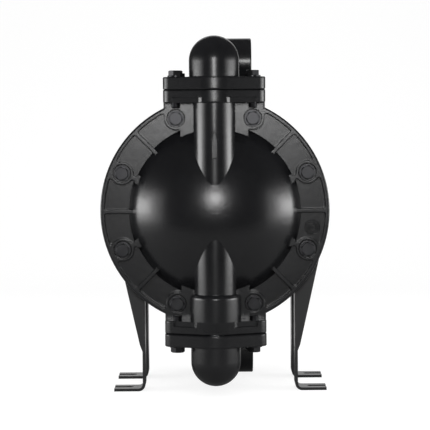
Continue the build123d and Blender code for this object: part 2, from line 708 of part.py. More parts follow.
# ---- air cap ----
def air_cap():
    """The dished cover behind the diaphragm, with the flange that the fluid cap bolts to."""
    recess_r = DIAPHRAGM_R + DIAPHRAGM_RECESS_CLEAR
    rod_hole_r = ROD_R + ROD_CLEAR_HOLE
    section = polygon(
        [
            (rod_hole_r, BOWL_BACK_OUT),
            (BOWL_BACK_R, BOWL_BACK_OUT),
            (BOWL_RIM_BACK_R, AIR_FLANGE_BACK_OUT),
            (AIR_CAP_R, AIR_FLANGE_BACK_OUT),
            (AIR_CAP_R, CAP_BACK_OUT),
            (recess_r, CAP_BACK_OUT),
            (recess_r, DIAPHRAGM_IN_OUT),
            (DIAPHRAGM_CLAMP_R, DIAPHRAGM_IN_OUT),
            (BOWL_FLOOR_R, BOWL_FLOOR_OUT),
            (rod_hole_r, BOWL_FLOOR_OUT),
        ]
    )
    section = rounded(section, BOWL_FILLET, (BOWL_BACK_R, BOWL_BACK_OUT), (BOWL_RIM_BACK_R, AIR_FLANGE_BACK_OUT))
    section = rounded(section, BOWL_FILLET, (BOWL_FLOOR_R, BOWL_FLOOR_OUT))
    cap = turned_out(section)
    for angle in BOLT_ANGLES:
        x, z = on_ring(BOLT_CIRCLE_R, angle)
        cap -= bar_out(BOLT_HOLE_R, AIR_FLANGE_BACK_OUT - BORE_STRETCH, CAP_BACK_OUT + BORE_STRETCH, x, z)
    for x, z in air_cap_screw_places():
        cap -= bar_out(AIR_CAP_SCREW_R, BOWL_BACK_OUT - BORE_STRETCH, BOWL_FLOOR_OUT + BORE_STRETCH, x, z)
    cap -= bar_out(AIR_PASSAGE_R, BOWL_BACK_OUT - BORE_STRETCH, BOWL_FLOOR_OUT + BORE_STRETCH, AIR_PASSAGE_X)
    pilot_hole_r = PILOT_R + ROD_CLEAR_HOLE
    return cap - bar_out(pilot_hole_r, BOWL_BACK_OUT - BORE_STRETCH, BOWL_FLOOR_OUT + BORE_STRETCH, z=PILOT_UP)


def air_cap_screw_places():
    return [(x, z) for x in (-AIR_CAP_SCREW_X, AIR_CAP_SCREW_X) for z in (-AIR_CAP_SCREW_Z, AIR_CAP_SCREW_Z)]


def air_cap_screws():
    screw = hex_bolt(AIR_CAP_SCREW_R, AIR_CAP_SCREW_L, AIR_CAP_SCREW_ACROSS, AIR_CAP_SCREW_HEAD)
    return [facing_out(BOWL_FLOOR_OUT, x, z) * screw for x, z in air_cap_screw_places()]


def air_cap_gasket():
    sheet = turned_out(
        polygon(
            [
                (ROD_R + ROD_CLEAR_HOLE, BODY_OUT),
                (BODY_HALF_X, BODY_OUT),
                (BODY_HALF_X, BOWL_BACK_OUT),
                (ROD_R + ROD_CLEAR_HOLE, BOWL_BACK_OUT),
            ]
        )
    )
    sheet &= block(-BODY_HALF_X, BODY_HALF_X, -BOWL_BACK_OUT, -BODY_OUT, -BODY_HALF_Z, BODY_HALF_Z)
    start = BODY_OUT - BORE_STRETCH
    end = BOWL_BACK_OUT + BORE_STRETCH
    for x, z in air_cap_screw_places():
        sheet -= bar_out(AIR_CAP_SCREW_R, start, end, x, z)
    sheet -= bar_out(AIR_PASSAGE_R, start, end, AIR_PASSAGE_X)
    return sheet - bar_out(PILOT_SEAL_R, start, end, z=PILOT_UP)


# ---- motor body, bushes and seals ----
def motor_body():
    body = block(-BODY_HALF_X, BODY_HALF_X, -BODY_OUT, BODY_OUT, -BODY_HALF_Z, BODY_HALF_Z)
    body = fillet(body.edges().filter_by(Axis.Y), BODY_CORNER_R)
    core_low = BODY_HALF_Z - BODY_CORE_DEPTH
    core = block(
        -BODY_CORE_L / 2, BODY_CORE_L / 2, -BODY_CORE_W / 2, BODY_CORE_W / 2, core_low, BODY_HALF_Z + BORE_STRETCH
    )
    body -= fillet(core.edges().filter_by(Axis.Z), BODY_CORNER_R)
    body -= bar_out(ROD_R + ROD_BORE_CLEAR, -BODY_OUT - BORE_STRETCH, BODY_OUT + BORE_STRETCH)
    body -= bar_out(PILOT_R + PILOT_CLEAR, -BODY_OUT - BORE_STRETCH, BODY_OUT + BORE_STRETCH, z=PILOT_UP)
    body -= bar_x(EXHAUST_R, -BODY_HALF_X - BORE_STRETCH, BODY_HALF_X + BORE_STRETCH, z=-EXHAUST_DROP)

    ends = bar_out(BUSH_R, BODY_OUT - ROD_SEAL_L - BUSH_L, BODY_OUT + BORE_STRETCH)
    ends += bar_out(PILOT_SEAL_R, BODY_OUT - PILOT_SEAL_L, BODY_OUT + BORE_STRETCH, z=PILOT_UP)
    ends += bar_out(AIR_PASSAGE_R, AIR_PASSAGE_OUT, BODY_OUT + BORE_STRETCH, AIR_PASSAGE_X)
    ends += bar_x(AIR_PASSAGE_R, -BODY_HALF_X - BORE_STRETCH, AIR_PASSAGE_X, y=-AIR_PASSAGE_OUT)
    screw_end = BOWL_FLOOR_OUT - AIR_CAP_SCREW_L
    for x, z in air_cap_screw_places():
        ends += bar_out(AIR_CAP_SCREW_R, screw_end, BODY_OUT + BORE_STRETCH, x, z)
    for y, z in valve_screw_places():
        body -= bar_x(VALVE_SCREW_R, -BODY_HALF_X - BORE_STRETCH, -BODY_HALF_X + VALVE_SCREW_GRIP, y, z)
    return body - ends - rear(ends)


def ring_out(hole, radius, start, end, z=0.0):
    return bar_out(radius, start, end, z=z) - bar_out(hole, start - BORE_STRETCH, end + BORE_STRETCH, z=z)


def rod_bush():
    end = BODY_OUT - ROD_SEAL_L
    return ring_out(ROD_R + BUSH_CLEAR, BUSH_R, end - BUSH_L, end)


def rod_seal():
    return ring_out(ROD_R + BUSH_CLEAR, BUSH_R, BODY_OUT - ROD_SEAL_L, BODY_OUT)


def pilot_seal():
    return ring_out(PILOT_R + PILOT_CLEAR, PILOT_SEAL_R, BODY_OUT - PILOT_SEAL_L, BODY_OUT, PILOT_UP)


def pilot_rod():
    """Its ends stand where the inner plates reach them as the stroke runs out."""
    half = ROD_END_OUT - ROD_STROKE + PILOT_TRAVEL - PILOT_END_GAP
    rod = bar_out(PILOT_R, -half, half, z=PILOT_UP)
    return chamfer(rod.edges().filter_by(GeomType.CIRCLE), 0.5)


# ---- air valve ----
def valve_screw_places():
    """Y and Z of the screws that hold the valve block to the motor body."""
    return [(y, z) for y in (-VALVE_SCREW_OUT, VALVE_SCREW_OUT) for z in (-VALVE_SCREW_DOWN, VALVE_SCREW_UP)]


def cover_screw_places():
    """X and Z of the screws of one valve cover."""
    reach_x = VALVE_COVER_HALF_W - COVER_SCREW_INSET
    reach_z = VALVE_COVER_HALF_H - COVER_SCREW_INSET
    return [(SLEEVE_X + x, z) for x in (-reach_x, reach_x) for z in (-reach_z, reach_z)]


def valve_block():
    mouth = VALVE_BACK_X - AIR_INLET_BOSS_L
    inner_end = mouth + AIR_INLET_L
    body = block(VALVE_BACK_X, VALVE_FACE_X, -VALVE_HALF_L, VALVE_HALF_L, VALVE_BOTTOM, VALVE_TOP)
    body = fillet(body.edges().filter_by(Axis.X), VALVE_FILLET)
    boss = bar_x(AIR_INLET_BOSS_R, mouth, VALVE_BACK_X + BORE_STRETCH)
    body += chamfer(boss.edges().sort_by(Axis.X)[0], 1.5)
    body -= bar_out(SLEEVE_R, -VALVE_HALF_L - BORE_STRETCH, VALVE_HALF_L + BORE_STRETCH, SLEEVE_X)
    body -= bar_x(AIR_INLET_R, mouth - BORE_STRETCH, inner_end)
    body -= bar_x(AIR_INLET_PASSAGE_R, inner_end - BORE_STRETCH, SLEEVE_X)
    body -= bar_z(AIR_PASSAGE_R, -EXHAUST_DROP, 0, SLEEVE_X)
    body -= bar_x(AIR_PASSAGE_R, SLEEVE_X, VALVE_FACE_X + BORE_STRETCH, z=-EXHAUST_DROP)
    for y in (-AIR_PASSAGE_OUT, AIR_PASSAGE_OUT):
        body -= bar_x(AIR_PASSAGE_R, SLEEVE_X, VALVE_FACE_X + BORE_STRETCH, y)
    for y, z in valve_screw_places():
        body -= bar_x(VALVE_SCREW_R, VALVE_BACK_X - BORE_STRETCH, VALVE_FACE_X + BORE_STRETCH, y, z)
    tapped_to = VALVE_HALF_L + VALVE_COVER_T - COVER_SCREW_L
    for x, z in cover_screw_places():
        hole = bar_out(COVER_SCREW_R, tapped_to, VALVE_HALF_L + BORE_STRETCH, x, z)
        body = body - hole - rear(hole)
    return body


def valve_gasket():
    start = VALVE_FACE_X - BORE_STRETCH
    end = -BODY_HALF_X + BORE_STRETCH
    sheet = block(VALVE_FACE_X, -BODY_HALF_X, -VALVE_HALF_L, VALVE_HALF_L, VALVE_BOTTOM, VALVE_TOP)
    sheet -= bar_x(EXHAUST_R, start, end, z=-EXHAUST_DROP)
    for y in (-AIR_PASSAGE_OUT, AIR_PASSAGE_OUT):
        sheet -= bar_x(AIR_PASSAGE_R, start, end, y)
    for y, z in valve_screw_places():
        sheet -= bar_x(VALVE_SCREW_R, start, end, y, z)
    return sheet


def valve_sleeve():
    sleeve = bar_out(SLEEVE_R, -VALVE_HALF_L, VALVE_HALF_L, SLEEVE_X)
    sleeve -= bar_out(SPOOL_R, -VALVE_HALF_L - BORE_STRETCH, VALVE_HALF_L + BORE_STRETCH, SLEEVE_X)
    reach = SLEEVE_R + BORE_STRETCH
    for y in (-SLEEVE_PORT_PITCH, 0, SLEEVE_PORT_PITCH):
        sleeve -= bar_x(SLEEVE_PORT_R, SLEEVE_X - reach, SLEEVE_X + reach, y)
        sleeve -= bar_z(SLEEVE_PORT_R, -reach, reach, SLEEVE_X, y)
    return sleeve


def valve_spool():
    spool = bar_out(SPOOL_R - SPOOL_CLEAR, -SPOOL_HALF_L, SPOOL_HALF_L, SLEEVE_X)
    for start, end in (
        (SPOOL_LAND_L / 2, SPOOL_HALF_L - SPOOL_LAND_L),
        (SPOOL_LAND_L - SPOOL_HALF_L, -SPOOL_LAND_L / 2),
    ):
        groove = bar_out(SPOOL_R, start, end, SLEEVE_X)
        spool -= groove - bar_out(SPOOL_GROOVE_R, start, end, SLEEVE_X)
    return spool


def valve_cover():
    low, high = VALVE_HALF_L, VALVE_HALF_L + VALVE_COVER_T
    left, right = SLEEVE_X - VALVE_COVER_HALF_W, SLEEVE_X + VALVE_COVER_HALF_W
    cover = block(left, right, -high, -low, -VALVE_COVER_HALF_H, VALVE_COVER_HALF_H)
    cover = fillet(cover.edges().filter_by(Axis.Y), VALVE_FILLET)
    cover = fillet(cover.faces().sort_by(Axis.Y)[0].edges(), 1.0)
    for x, z in cover_screw_places():
        cover -= bar_out(COVER_SCREW_R, low - BORE_STRETCH, high + BORE_STRETCH, x, z)
    return cover


def valve_cover_screws():
    screw = hex_bolt(COVER_SCREW_R, COVER_SCREW_L, COVER_SCREW_ACROSS, COVER_SCREW_HEAD)
    return [facing_out(VALVE_HALF_L + VALVE_COVER_T, x, z) * screw for x, z in cover_screw_places()]


def valve_screws():
    length = VALVE_DEPTH + VALVE_GASKET_T + VALVE_SCREW_GRIP
    screw = hex_bolt(VALVE_SCREW_R, length, VALVE_SCREW_ACROSS, VALVE_SCREW_HEAD)
    facing_left = Plane((VALVE_BACK_X, 0, 0), x_dir=(0, 1, 0), z_dir=(-1, 0, 0)).location
    return [(Location((0, y, z)) * facing_left) * screw for y, z in valve_screw_places()]


# ---- muffler ----
def along_x(start, shape):
    """Stands a shape drawn along +Z on the exhaust axis, pointing along +X."""
    return Plane((start, 0, -EXHAUST_DROP), x_dir=(0, 1, 0), z_dir=(1, 0, 0)).location * shape


def upright(radius, low, high):
    return Cylinder(radius, high - low, align=(Align.CENTER, Align.CENTER, Align.MIN)).moved(Location((0, 0, low)))


def muffler_nipple():
    """A threaded nipple with a hexagon in its middle, screwed into the motor body."""
    nipple = upright(EXHAUST_R, -NIPPLE_IN_BODY, NIPPLE_L - NIPPLE_IN_BODY)
    nipple += hex_head(NIPPLE_HEX, NIPPLE_HEX_L).moved(Location((0, 0, BORE_STRETCH)))
    nipple -= upright(NIPPLE_BORE_R, -NIPPLE_IN_BODY - BORE_STRETCH, NIPPLE_L)
    return along_x(BODY_HALF_X, nipple)


def muffler_start():
    return BODY_HALF_X + NIPPLE_HEX_L + 2 * BORE_STRETCH


def muffler_body():
    can = upright(MUFFLER_R, 0, MUFFLER_L)
    can = fillet(can.edges().sort_by(Axis.Z)[-1], 4.0)
    can -= upright(MUFFLER_R - MUFFLER_WALL, MUFFLER_END, MUFFLER_L - MUFFLER_END)
    can -= upright(EXHAUST_R, -BORE_STRETCH, MUFFLER_END + BORE_STRETCH)
    slot = block(
        MUFFLER_R - 2 * MUFFLER_WALL,
        MUFFLER_R + BORE_STRETCH,
        -MUFFLER_SLOT_W / 2,
        MUFFLER_SLOT_W / 2,
        1.5 * MUFFLER_END,
        MUFFLER_L - 1.5 * MUFFLER_END,
    )
    for angle in ring_angles(MUFFLER_SLOTS, 0.0):
        can -= Rot(Z=angle) * slot
    return along_x(muffler_start(), can)


def muffler_core():
    """A porous tube inside the muffler, clear of its wall."""
    outer = MUFFLER_R - 2 * MUFFLER_WALL
    core = upright(outer, MUFFLER_END, MUFFLER_L - MUFFLER_END)
    core -= upright(outer - MUFFLER_WALL, 0, MUFFLER_L)
    return along_x(muffler_start(), core)


# ---- legs ----
def front_leg(side):
    """A bent sheet leg at the front end, on the left (-1) or the right (+1)."""

    def across(half_span):
        return LEG_SHIFT_X + side * half_span

    strap_in = LEG_HALF_SPAN - LEG_T
    gusset = polygon(
        [
            (across(strap_in), -GUSSET_CHAMFER_DROP),
            (across(LEG_HALF_SPAN), -GUSSET_CHAMFER_DROP),
            (across(GUSSET_FOOT_HALF_SPAN), -GUSSET_FOOT_DROP),
            (across(GUSSET_TOP_HALF_SPAN), -GUSSET_TOP_DROP),
            (across(strap_in), -GUSSET_TOP_DROP),
        ]
    )
    gusset = rounded(gusset, GUSSET_CORNER_R, (across(GUSSET_TOP_HALF_SPAN), -GUSSET_TOP_DROP))
    pad = sector(LEG_PAD_R_IN, LEG_PAD_R_OUT, LEG_PAD_FROM_DEG, LEG_PAD_TO_DEG)
    if side < 0:
        pad = pad.mirror(Plane.YZ)
    sheet = extrude(gusset + pad - Circle(LEG_PAD_R_IN), LEG_T)
    leg = facing_out(AIR_FLANGE_BACK_OUT - LEG_T, 0, 0) * sheet
    for angle in BOLT_ANGLES:
        x, z = on_ring(BOLT_CIRCLE_R, angle)
        leg -= bar_out(BOLT_HOLE_R, 0, AIR_FLANGE_BACK_OUT + BORE_STRETCH, x, z)

    floor = -AXIS_Z
    strap = polygon(
        [
            (across(strap_in), -LEG_STRAP_TOP_DROP),
            (across(strap_in), floor),
            (across(FOOT_HALF_SPAN), floor),
            (across(FOOT_HALF_SPAN), floor + LEG_T),
            (across(LEG_HALF_SPAN), floor + LEG_T),
            (across(LEG_HALF_SPAN), -LEG_STRAP_TOP_DROP),
        ]
    )
    strap = rounded(strap, LEG_BEND_R, (across(strap_in), floor))
    strap = rounded(strap, LEG_BEND_R - LEG_T, (across(LEG_HALF_SPAN), floor + LEG_T))
    leg += facing_out(AIR_FLANGE_BACK_OUT - LEG_STRAP_W, 0, 0) * extrude(strap, LEG_STRAP_W)

    slot_y = LEG_STRAP_W / 2 - AIR_FLANGE_BACK_OUT
    slot_end = FOOT_HALF_SPAN - FOOT_SLOT_L + FOOT_SLOT_R
    slot_x = sorted((across(slot_end), across(FOOT_HALF_SPAN + BORE_STRETCH)))
    above = floor + LEG_T + BORE_STRETCH
    leg -= block(*slot_x, slot_y - FOOT_SLOT_R, slot_y + FOOT_SLOT_R, floor - BORE_STRETCH, above)
    return leg - bar_z(FOOT_SLOT_R, floor - BORE_STRETCH, above, across(slot_end), slot_y)


# ---- flange fasteners ----
def cap_bolts():
    seat = FACE_OUT - SPOTFACE_DEPTH + WASHER_T
    length = seat - (AIR_FLANGE_BACK_OUT - LEG_T - NUT_H - CAP_BOLT_TAIL)
    bolt = hex_bolt(BOLT_R, length, BOLT_ACROSS, BOLT_HEAD)
    return [facing_out(seat, *on_ring(BOLT_CIRCLE_R, a), twist=a) * bolt for a in BOLT_ANGLES]


def cap_washers():
    ring = washer(BOLT_HOLE_R, WASHER_R, WASHER_T)
    return [facing_out(FACE_OUT - SPOTFACE_DEPTH, *on_ring(BOLT_CIRCLE_R, a)) * ring for a in BOLT_ANGLES]


def cap_nuts():
    """The lower nuts sit on the legs, and the upper ones on the air cap's flange."""
    nut = hex_nut(BOLT_R, BOLT_ACROSS, NUT_H)
    nuts = []
    for angle in BOLT_ANGLES:
        x, z = on_ring(BOLT_CIRCLE_R, angle)
        seat = AIR_FLANGE_BACK_OUT - LEG_T if z < 0 else AIR_FLANGE_BACK_OUT
        inward = Plane((x, -seat, z), x_dir=(1, 0, 0), z_dir=(0, 1, 0)).location
        nuts.append(inward * Rot(Z=angle) * nut)
    return nuts


def port_bolt_places():
    return [(x, y) for x in (-PORT_BOLT_X, PORT_BOLT_X) for y in (-PORT_AXIS_OUT, PORT_AXIS_OUT)]


def port_bolts():
    seat = PORT_FACE_UP + MANIFOLD_PORT_T + WASHER_T
    length = seat - (PORT_FACE_UP - CAP_PORT_T - PORT_BOLT_TAIL)
    bolt = hex_bolt(BOLT_R, length, BOLT_ACROSS, BOLT_HEAD)
    return [(Location((x, y, seat)) * Rot(Z=x + y)) * bolt for x, y in port_bolt_places()]


def port_washers():
    ring = washer(BOLT_HOLE_R, WASHER_R, WASHER_T)
    return [ring.moved(Location((x, y, PORT_FACE_UP + MANIFOLD_PORT_T))) for x, y in port_bolt_places()]


def flipped(shapes):
    return [shape.mirror(Plane.XY) for shape in shapes]


# ---- the whole pump ----
os.makedirs("parts", exist_ok=True)

ENDS = {
    "fluid_cap": front_fluid_cap(),
    "air_cap": air_cap(),
    "air_cap_gasket": air_cap_gasket(),
    "diaphragm": diaphragm(),
    "outer_plate": outer_plate(),
    "inner_plate": inner_plate(),
    "plate_screw": plate_screw(),
    "rod_bush": rod_bush(),
    "rod_seal": rod_seal(),
    "outlet_ball": check_ball(PORT_FACE_UP),
    "outlet_seat": ball_seat(PORT_FACE_UP),
    "inlet_ball": check_ball(-PORT_FACE_UP),
    "inlet_seat": ball_seat(-PORT_FACE_UP),
    "valve_cover": valve_cover(),
    "left_leg": front_leg(-1),
    "right_leg": front_leg(1),
}
for name, shape in ENDS.items():
    save(f"front_{name}", shape)
    save(f"rear_{name}", rear(shape))

END_GROUPS = {"cap_bolts": cap_bolts(), "cap_washers": cap_washers(), "cap_nuts": cap_nuts()}
for name, shapes in END_GROUPS.items():
    save(f"front_{name}", *shapes)
    save(f"rear_{name}", *[rear(shape) for shape in shapes])

PAIRS = {
    "outlet_seat_seals": [seat_seal(PORT_FACE_UP)],
    "inlet_seat_seals": [seat_seal(-PORT_FACE_UP)],
    "pilot_seals": [pilot_seal()],
    "air_cap_screws": air_cap_screws(),
    "valve_cover_screws": valve_cover_screws(),
}
for name, shapes in PAIRS.items():
    save(name, *shapes, *[rear(shape) for shape in shapes])

save("outlet_manifold", outlet_manifold())
save("inlet_manifold", inlet_manifold())
save("outlet_manifold_bolts", *port_bolts())
save("inlet_manifold_bolts", *flipped(port_bolts()))
save("outlet_manifold_washers", *port_washers())
save("inlet_manifold_washers", *flipped(port_washers()))
save("motor_body", motor_body())
save("diaphragm_rod", diaphragm_rod())
save("pilot_rod", pilot_rod())
save("valve_block", valve_block())
save("valve_gasket", valve_gasket())
save("valve_sleeve", valve_sleeve())
save("valve_spool", valve_spool())
save("valve_screws", *valve_screws())
save("muffler_nipple", muffler_nipple())
save("muffler_body", muffler_body())
save("muffler_core", muffler_core())
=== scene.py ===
"""Looks for a two-inch air operated double-diaphragm pump with black coated castings, in metres."""
import json
from math import cos, pi, radians, sin

import bmesh
import bpy
from mathutils import Matrix, Vector


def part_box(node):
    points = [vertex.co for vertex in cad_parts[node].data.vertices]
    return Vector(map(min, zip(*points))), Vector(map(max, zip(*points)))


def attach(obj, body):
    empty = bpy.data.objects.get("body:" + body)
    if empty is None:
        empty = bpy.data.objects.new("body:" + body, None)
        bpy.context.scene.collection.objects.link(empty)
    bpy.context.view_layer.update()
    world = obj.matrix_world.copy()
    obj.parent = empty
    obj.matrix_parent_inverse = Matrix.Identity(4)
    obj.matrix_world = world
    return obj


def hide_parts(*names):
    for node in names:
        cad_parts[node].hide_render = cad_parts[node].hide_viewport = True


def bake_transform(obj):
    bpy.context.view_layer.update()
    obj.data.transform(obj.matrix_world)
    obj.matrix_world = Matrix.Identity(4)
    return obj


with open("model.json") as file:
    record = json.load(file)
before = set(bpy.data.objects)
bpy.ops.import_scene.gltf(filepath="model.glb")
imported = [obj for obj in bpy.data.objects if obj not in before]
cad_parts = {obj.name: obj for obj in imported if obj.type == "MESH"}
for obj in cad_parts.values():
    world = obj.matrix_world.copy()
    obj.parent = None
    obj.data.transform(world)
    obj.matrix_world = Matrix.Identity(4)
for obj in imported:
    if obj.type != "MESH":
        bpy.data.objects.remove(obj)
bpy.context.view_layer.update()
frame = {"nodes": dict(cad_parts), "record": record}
nodes = frame["nodes"]

MM = 0.001


# ---- shader and geometry node writing ----
class Val:
    """A number in a node tree. Arithmetic on it adds Math nodes."""

    def __init__(self, tree, socket):
        self.tree, self.socket = tree, socket

    def math(self, operation, *values):
        made = self.tree.node("ShaderNodeMath", {"operation": operation}, dict(enumerate(values)))
        return Val(self.tree, made.outputs[0])

    def __add__(self, other):
        return self.math("ADD", self, other)

    def __radd__(self, other):
        return self.math("ADD", other, self)

    def __rsub__(self, other):
        return self.math("SUBTRACT", other, self)

    def __mul__(self, other):
        return self.math("MULTIPLY", self, other)

    def __rmul__(self, other):
        return self.math("MULTIPLY", other, self)

    def __truediv__(self, other):
        return self.math("DIVIDE", self, other)

    def above(self, low, high):
        """0 below low and 1 above high, with a soft step between."""
        made = self.tree.node(
            "ShaderNodeMapRange",
            {"interpolation_type": "SMOOTHSTEP"},
            {"Value": self, "From Min": low, "From Max": high},
        )
        return Val(self.tree, made.outputs[0])

    def at_least(self, other):
        return self.math("MAXIMUM", self, other)


class Tree:
    """A node tree, written one node at a time."""

    def __init__(self, tree):
        self.tree = tree

    def node(self, kind, settings=None, sockets=None):
        made = self.tree.nodes.new(kind)
        for key, value in (settings or {}).items():
            setattr(made, key, value)
        for key, value in (sockets or {}).items():
            self.put(made.inputs[key], value)
        return made

    def put(self, socket, value):
        if isinstance(value, Val):
            value = value.socket
        if isinstance(value, bpy.types.NodeSocket):
            self.tree.links.new(value, socket)
        else:
            socket.default_value = value


class Finish(Tree):
    """A material with one Principled shader, read from the place on the object."""

    def __init__(self, name):
        self.material = bpy.data.materials.new(name)
        self.material.use_nodes = True
        super().__init__(self.material.node_tree)
        self.tree.nodes.clear()
        self.place = self.node("ShaderNodeTexCoord").outputs["Object"]

    def noise(self, size, detail=2.0):
        """Cloudy noise between 0 and 1 whose blobs are about size metres across."""
        sockets = {"Vector": self.place, "Scale": 1 / size, "Detail": detail, "Roughness": 0.5}
        made = self.node("ShaderNodeTexNoise", {"noise_dimensions": "3D"}, sockets)
        return Val(self, made.outputs["Fac"])

    def blend(self, factor, first, second):
        """A colour that goes from first to second as factor goes from 0 to 1."""
        sockets = {0: factor, 6: (*first, 1), 7: (*second, 1)}
        return self.node("ShaderNodeMix", {"data_type": "RGBA"}, sockets).outputs[2]

    def eased_edges(self, radius):
        """The normal as if every edge had a small round of that radius."""
        return self.node("ShaderNodeBevel", {"samples": 6}, {"Radius": radius}).outputs[0]

    def bump(self, height, depth, normal=None):
        sockets = {"Height": height, "Distance": depth, "Strength": 1.0}
        if normal is not None:
            sockets["Normal"] = normal
        return self.node("ShaderNodeBump", {}, sockets).outputs[0]

    def shade(self, **sockets):
        named = {key.replace("_", " "): value for key, value in sockets.items()}
        shader = self.node("ShaderNodeBsdfPrincipled", {}, named)
        self.node("ShaderNodeOutputMaterial", {}, {"Surface": shader.outputs[0]})
        return self.material


# ---- finishes ----
def coated_casting():
    """Black baked coat on sand-cast metal: fine orange peel over a faint cast skin, edges eased."""
    f = Finish("black_coated_casting")
    cloud, skin, peel = f.noise(0.11), f.noise(0.009, 3.0), f.noise(0.0016)
    tone = (cloud * 0.6 + skin * 0.4).above(0.3, 0.7)
    normal = f.bump(skin, 0.0001, f.eased_edges(0.002))
    normal = f.bump(peel, 0.00003, normal)
    return f.shade(
        Base_Color=f.blend(tone, (0.0048, 0.0049, 0.0055), (0.0074, 0.0075, 0.0082)),
        Roughness=0.225 + cloud * 0.03 + peel * 0.03,
        Normal=normal,
    )


def coated_sheet():
    """The same black coat on bent sheet steel, which is smoother."""
    f = Finish("black_coated_sheet")
    cloud, peel = f.noise(0.07), f.noise(0.0013)
    return f.shade(
        Base_Color=f.blend(cloud, (0.006, 0.0061, 0.0066), (0.009, 0.0091, 0.0098)),
        Roughness=0.3 + cloud * 0.06 + peel * 0.04,
        Normal=f.bump(peel, 0.00002, f.eased_edges(0.0006)),
    )


def black_steel():
    """Blackened steel of bolts, nuts and washers, with fine forging marks."""
    f = Finish("blackened_steel")
    cloud, grain = f.noise(0.012, 3.0), f.noise(0.0012)
    return f.shade(
        Base_Color=f.blend(cloud, (0.022, 0.022, 0.024), (0.045, 0.045, 0.047)),
        Metallic=0.9,
        Roughness=0.24 + cloud * 0.12 + grain * 0.05,
        Normal=f.bump(grain, 0.00002, f.eased_edges(0.0004)),
    )


def rubber(name, first, second, rough):
    f = Finish(name)
    cloud, grain = f.noise(0.03), f.noise(0.0008)
    return f.shade(
        Base_Color=f.blend(cloud, first, second),
        Roughness=rough + cloud * 0.1,
        Normal=f.bump(grain, 0.00002, f.eased_edges(0.0005)),
    )


def machined(name, first, second, rough, metallic=1.0):
    """Turned or ground metal with a fine grain."""
    f = Finish(name)
    cloud, grain = f.noise(0.02), f.noise(0.0006, 2.0)
    return f.shade(
        Base_Color=f.blend(cloud, first, second),
        Metallic=metallic,
        Roughness=rough + cloud * 0.06 + grain * 0.05,
        Normal=f.bump(grain, 0.00001, f.eased_edges(0.0004)),
    )


def moulded(name, first, second, rough, grain_size=0.0011, depth=0.00004):
    f = Finish(name)
    cloud, grain = f.noise(0.025), f.noise(grain_size)
    return f.shade(
        Base_Color=f.blend(cloud, first, second),
        Roughness=rough + cloud * 0.08 + grain * 0.06,
        Normal=f.bump(grain, depth, f.eased_edges(0.0006)),
    )


FINISHES = {
    "coated_casting": coated_casting(),
    "coated_sheet": coated_sheet(),
    "black_fastener": black_steel(),
    "diaphragm_rubber": rubber("black_nitrile", (0.012, 0.012, 0.012), (0.02, 0.02, 0.02), 0.5),
    "seal_rubber": rubber("seal_nitrile", (0.01, 0.01, 0.01), (0.018, 0.018, 0.018), 0.42),
    "gasket_sheet": moulded(
        "gasket_fibre", (0.05, 0.046, 0.04), (0.09, 0.083, 0.072), 0.7, 0.0008, 0.00006
    ),
    "plain_aluminium": machined("plain_aluminium", (0.55, 0.56, 0.57), (0.65, 0.66, 0.67), 0.34),
    "ground_steel": machined("ground_steel", (0.55, 0.56, 0.58), (0.63, 0.64, 0.66), 0.2),
    "brass": machined("turned_brass", (0.62, 0.43, 0.17), (0.72, 0.52, 0.23), 0.28),
    "muffler_plastic": moulded("muffler_plastic", (0.014, 0.014, 0.015), (0.022, 0.022, 0.023), 0.42),
    "muffler_felt": moulded("muffler_felt", (0.11, 0.11, 0.105), (0.2, 0.2, 0.19), 0.85, 0.0016, 0.0004),
}
for piece in nodes.values():
    for place in piece.material_slots:
        place.material = FINISHES[place.material.name]


# ---- cut threads and the founder's dial ----
class Grower(Tree):
    """A geometry node tree that grows small forms on a mesh of single points."""

    def __init__(self, name, sizes):
        super().__init__(bpy.data.node_groups.new(name, "GeometryNodeTree"))
        sockets = self.tree.interface
        sockets.new_socket("Geometry", in_out="INPUT", socket_type="NodeSocketGeometry")
        for size in sizes:
            kind = "NodeSocketVector" if size == "Turn" else "NodeSocketFloat"
            sockets.new_socket(size, in_out="INPUT", socket_type=kind)
        sockets.new_socket("Geometry", in_out="OUTPUT", socket_type="NodeSocketGeometry")
        given = self.node("NodeGroupInput").outputs
        self.marks = given[0]
        self.given = {size: Val(self, given[size]) for size in sizes}

    def wire(self, path, thickness, corners, fill):
        """A bar of that thickness along a curve."""
        circle = {"Resolution": corners, "Radius": thickness}
        round_bar = self.node("GeometryNodeCurvePrimitiveCircle", {}, circle)
        upright = self.node("GeometryNodeSetCurveNormal", {"mode": "Z_UP"}, {"Curve": path})
        bar = {"Curve": upright.outputs[0], "Profile Curve": round_bar.outputs[0], "Fill Caps": fill}
        return self.node("GeometryNodeCurveToMesh", {}, bar).outputs[0]

    def deliver(self, parts, finish):
        joined = self.node("GeometryNodeJoinGeometry")
        for part in parts:
            self.tree.links.new(part, joined.inputs[0])
        spots = {"Points": self.marks, "Instance": joined.outputs[0], "Rotation": self.given["Turn"]}
        placed = self.node("GeometryNodeInstanceOnPoints", {}, spots)
        real = self.node("GeometryNodeRealizeInstances", {}, {0: placed.outputs[0]})
        done = self.node("GeometryNodeSetMaterial", {}, {"Geometry": real.outputs[0], "Material": finish})
        self.node("NodeGroupOutput", {}, {0: done.outputs[0]})


def thread_tree(finish):
    """A helical thread ridge that starts on each mark."""
    g = Grower("cut_thread", ("Radius", "Pitch", "Length", "Turn"))
    radius, pitch, length = g.given["Radius"], g.given["Pitch"], g.given["Length"]
    coil = {
        "Resolution": 20,
        "Rotations": length / pitch,
        "Start Radius": radius,
        "End Radius": radius,
        "Height": length,
    }
    helix = g.node("GeometryNodeCurveSpiral", {}, coil).outputs[0]
    g.deliver([g.wire(helix, pitch * 0.4, 4, True)], finish)
    return g.tree


